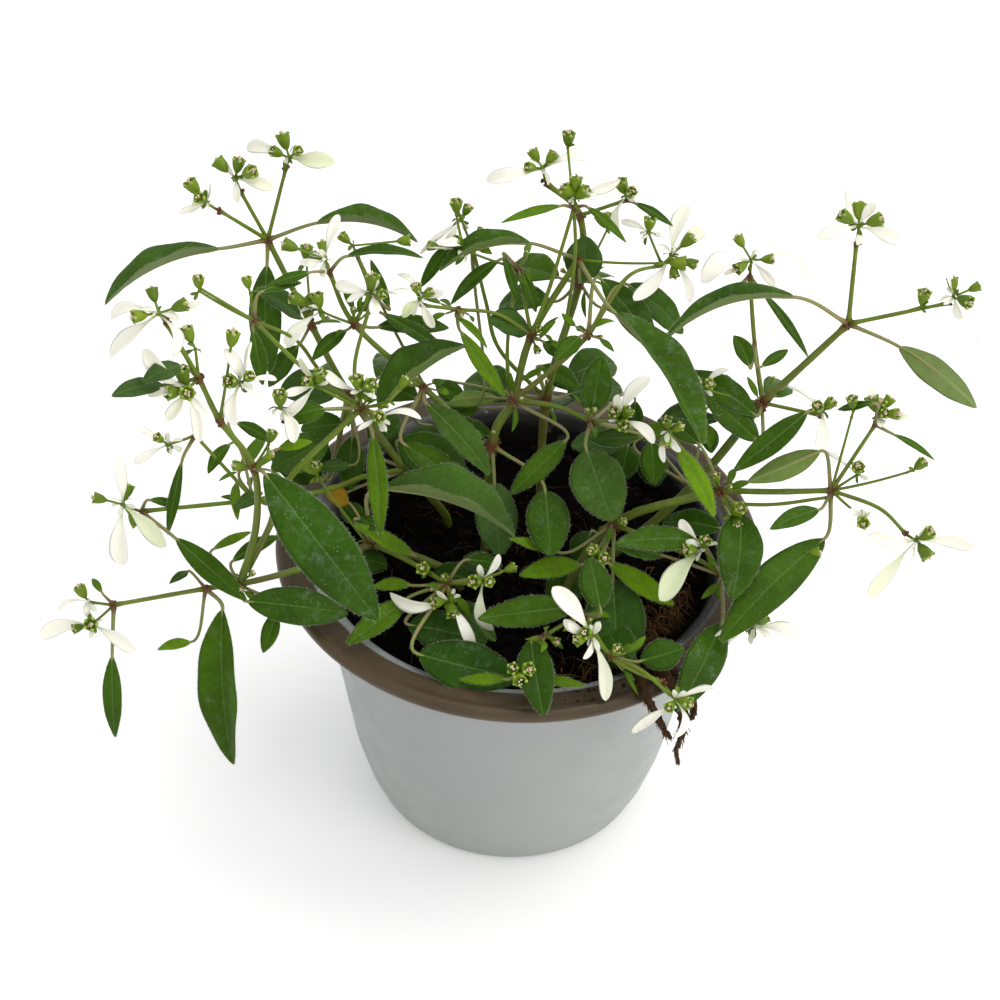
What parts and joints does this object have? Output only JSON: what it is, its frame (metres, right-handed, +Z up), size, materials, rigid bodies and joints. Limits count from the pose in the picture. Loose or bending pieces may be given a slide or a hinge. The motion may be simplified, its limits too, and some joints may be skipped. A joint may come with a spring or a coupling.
{
  "type": "potted euphorbia",
  "caption": "Bushy potted euphorbia with thin forking stems, oval leaves and small white-bracted flower heads, growing in a round tapered plastic pot with a flat rolled rim.",
  "frame": {"origin": "centre of the pot's underside", "axes": "+Z up, -Y towards the side that shows most leaves, +X to its right"},
  "size_m": [0.2308, 0.137, 0.1918],
  "materials": {
    "pot_plastic": "satin light grey plastic, with a bronze painted band on the rim",
    "peat": "damp, crumbly and almost black",
    "coir": "matted brown fibres",
    "stem": "satin green, red-brown at the joints",
    "leaf": "satin deep green above, pale grey-green below",
    "bract": "soft matt creamy white bracts on green cups"
  },
  "bodies": {
    "root": {"pot": "pot_plastic", "potting_soil": "peat", "peat_tuft": "coir", "shoot_back": "stem", "shoot_centre": "stem", "shoot_east": "stem", "shoot_left_high": "stem", "shoot_left_low": "stem", "shoot_middle": "stem", "shoot_near": "stem", "shoot_nook": "stem", "shoot_right_high": "stem", "shoot_south": "stem", "leaf_arm": "leaf", "leaf_centre_low": "leaf", "leaf_centre_ovate": "leaf", "leaf_centre_tan": "leaf", "leaf_east_bright": "leaf", "leaf_east_far_down": "leaf", "leaf_east_large": "leaf", "leaf_east_mid_dark": "leaf", "leaf_east_round": "leaf", "leaf_fork_back": "leaf", "leaf_fork_large": "leaf", "leaf_front_left": "leaf", "leaf_left_high_down": "leaf", "leaf_left_high_in": "leaf", "leaf_left_high_out": "leaf", "leaf_left_mid": "leaf", "leaf_low_end": "leaf", "leaf_low_folded": "leaf", "leaf_low_hanging": "leaf", "leaf_low_inner": "leaf", "leaf_mid_right_round": "leaf", "leaf_middle_down": "leaf", "leaf_middle_right": "leaf", "leaf_nook_high": "leaf", "leaf_right_arm": "leaf", "leaf_right_folded": "leaf", "leaf_right_mid": "leaf", "leaf_right_out": "leaf", "leaf_side_large": "leaf", "leaf_side_low": "leaf", "leaf_south_broad": "leaf", "leaf_south_east": "leaf", "leaf_south_hanging": "leaf", "leaf_south_left": "leaf", "leaf_top_folded": "leaf", "flower_back_top": "bract", "flower_east_far": "bract", "flower_fork": "bract", "flower_front": "bract", "flower_left_high_b": "bract", "flower_left_high_c": "bract", "flower_low_end": "bract", "flower_near_top": "bract", "flower_right_high_a": "bract", "flower_right_high_b": "bract", "flower_side_end": "bract", "flower_south": "bract"}
  },
  "joints": []
}
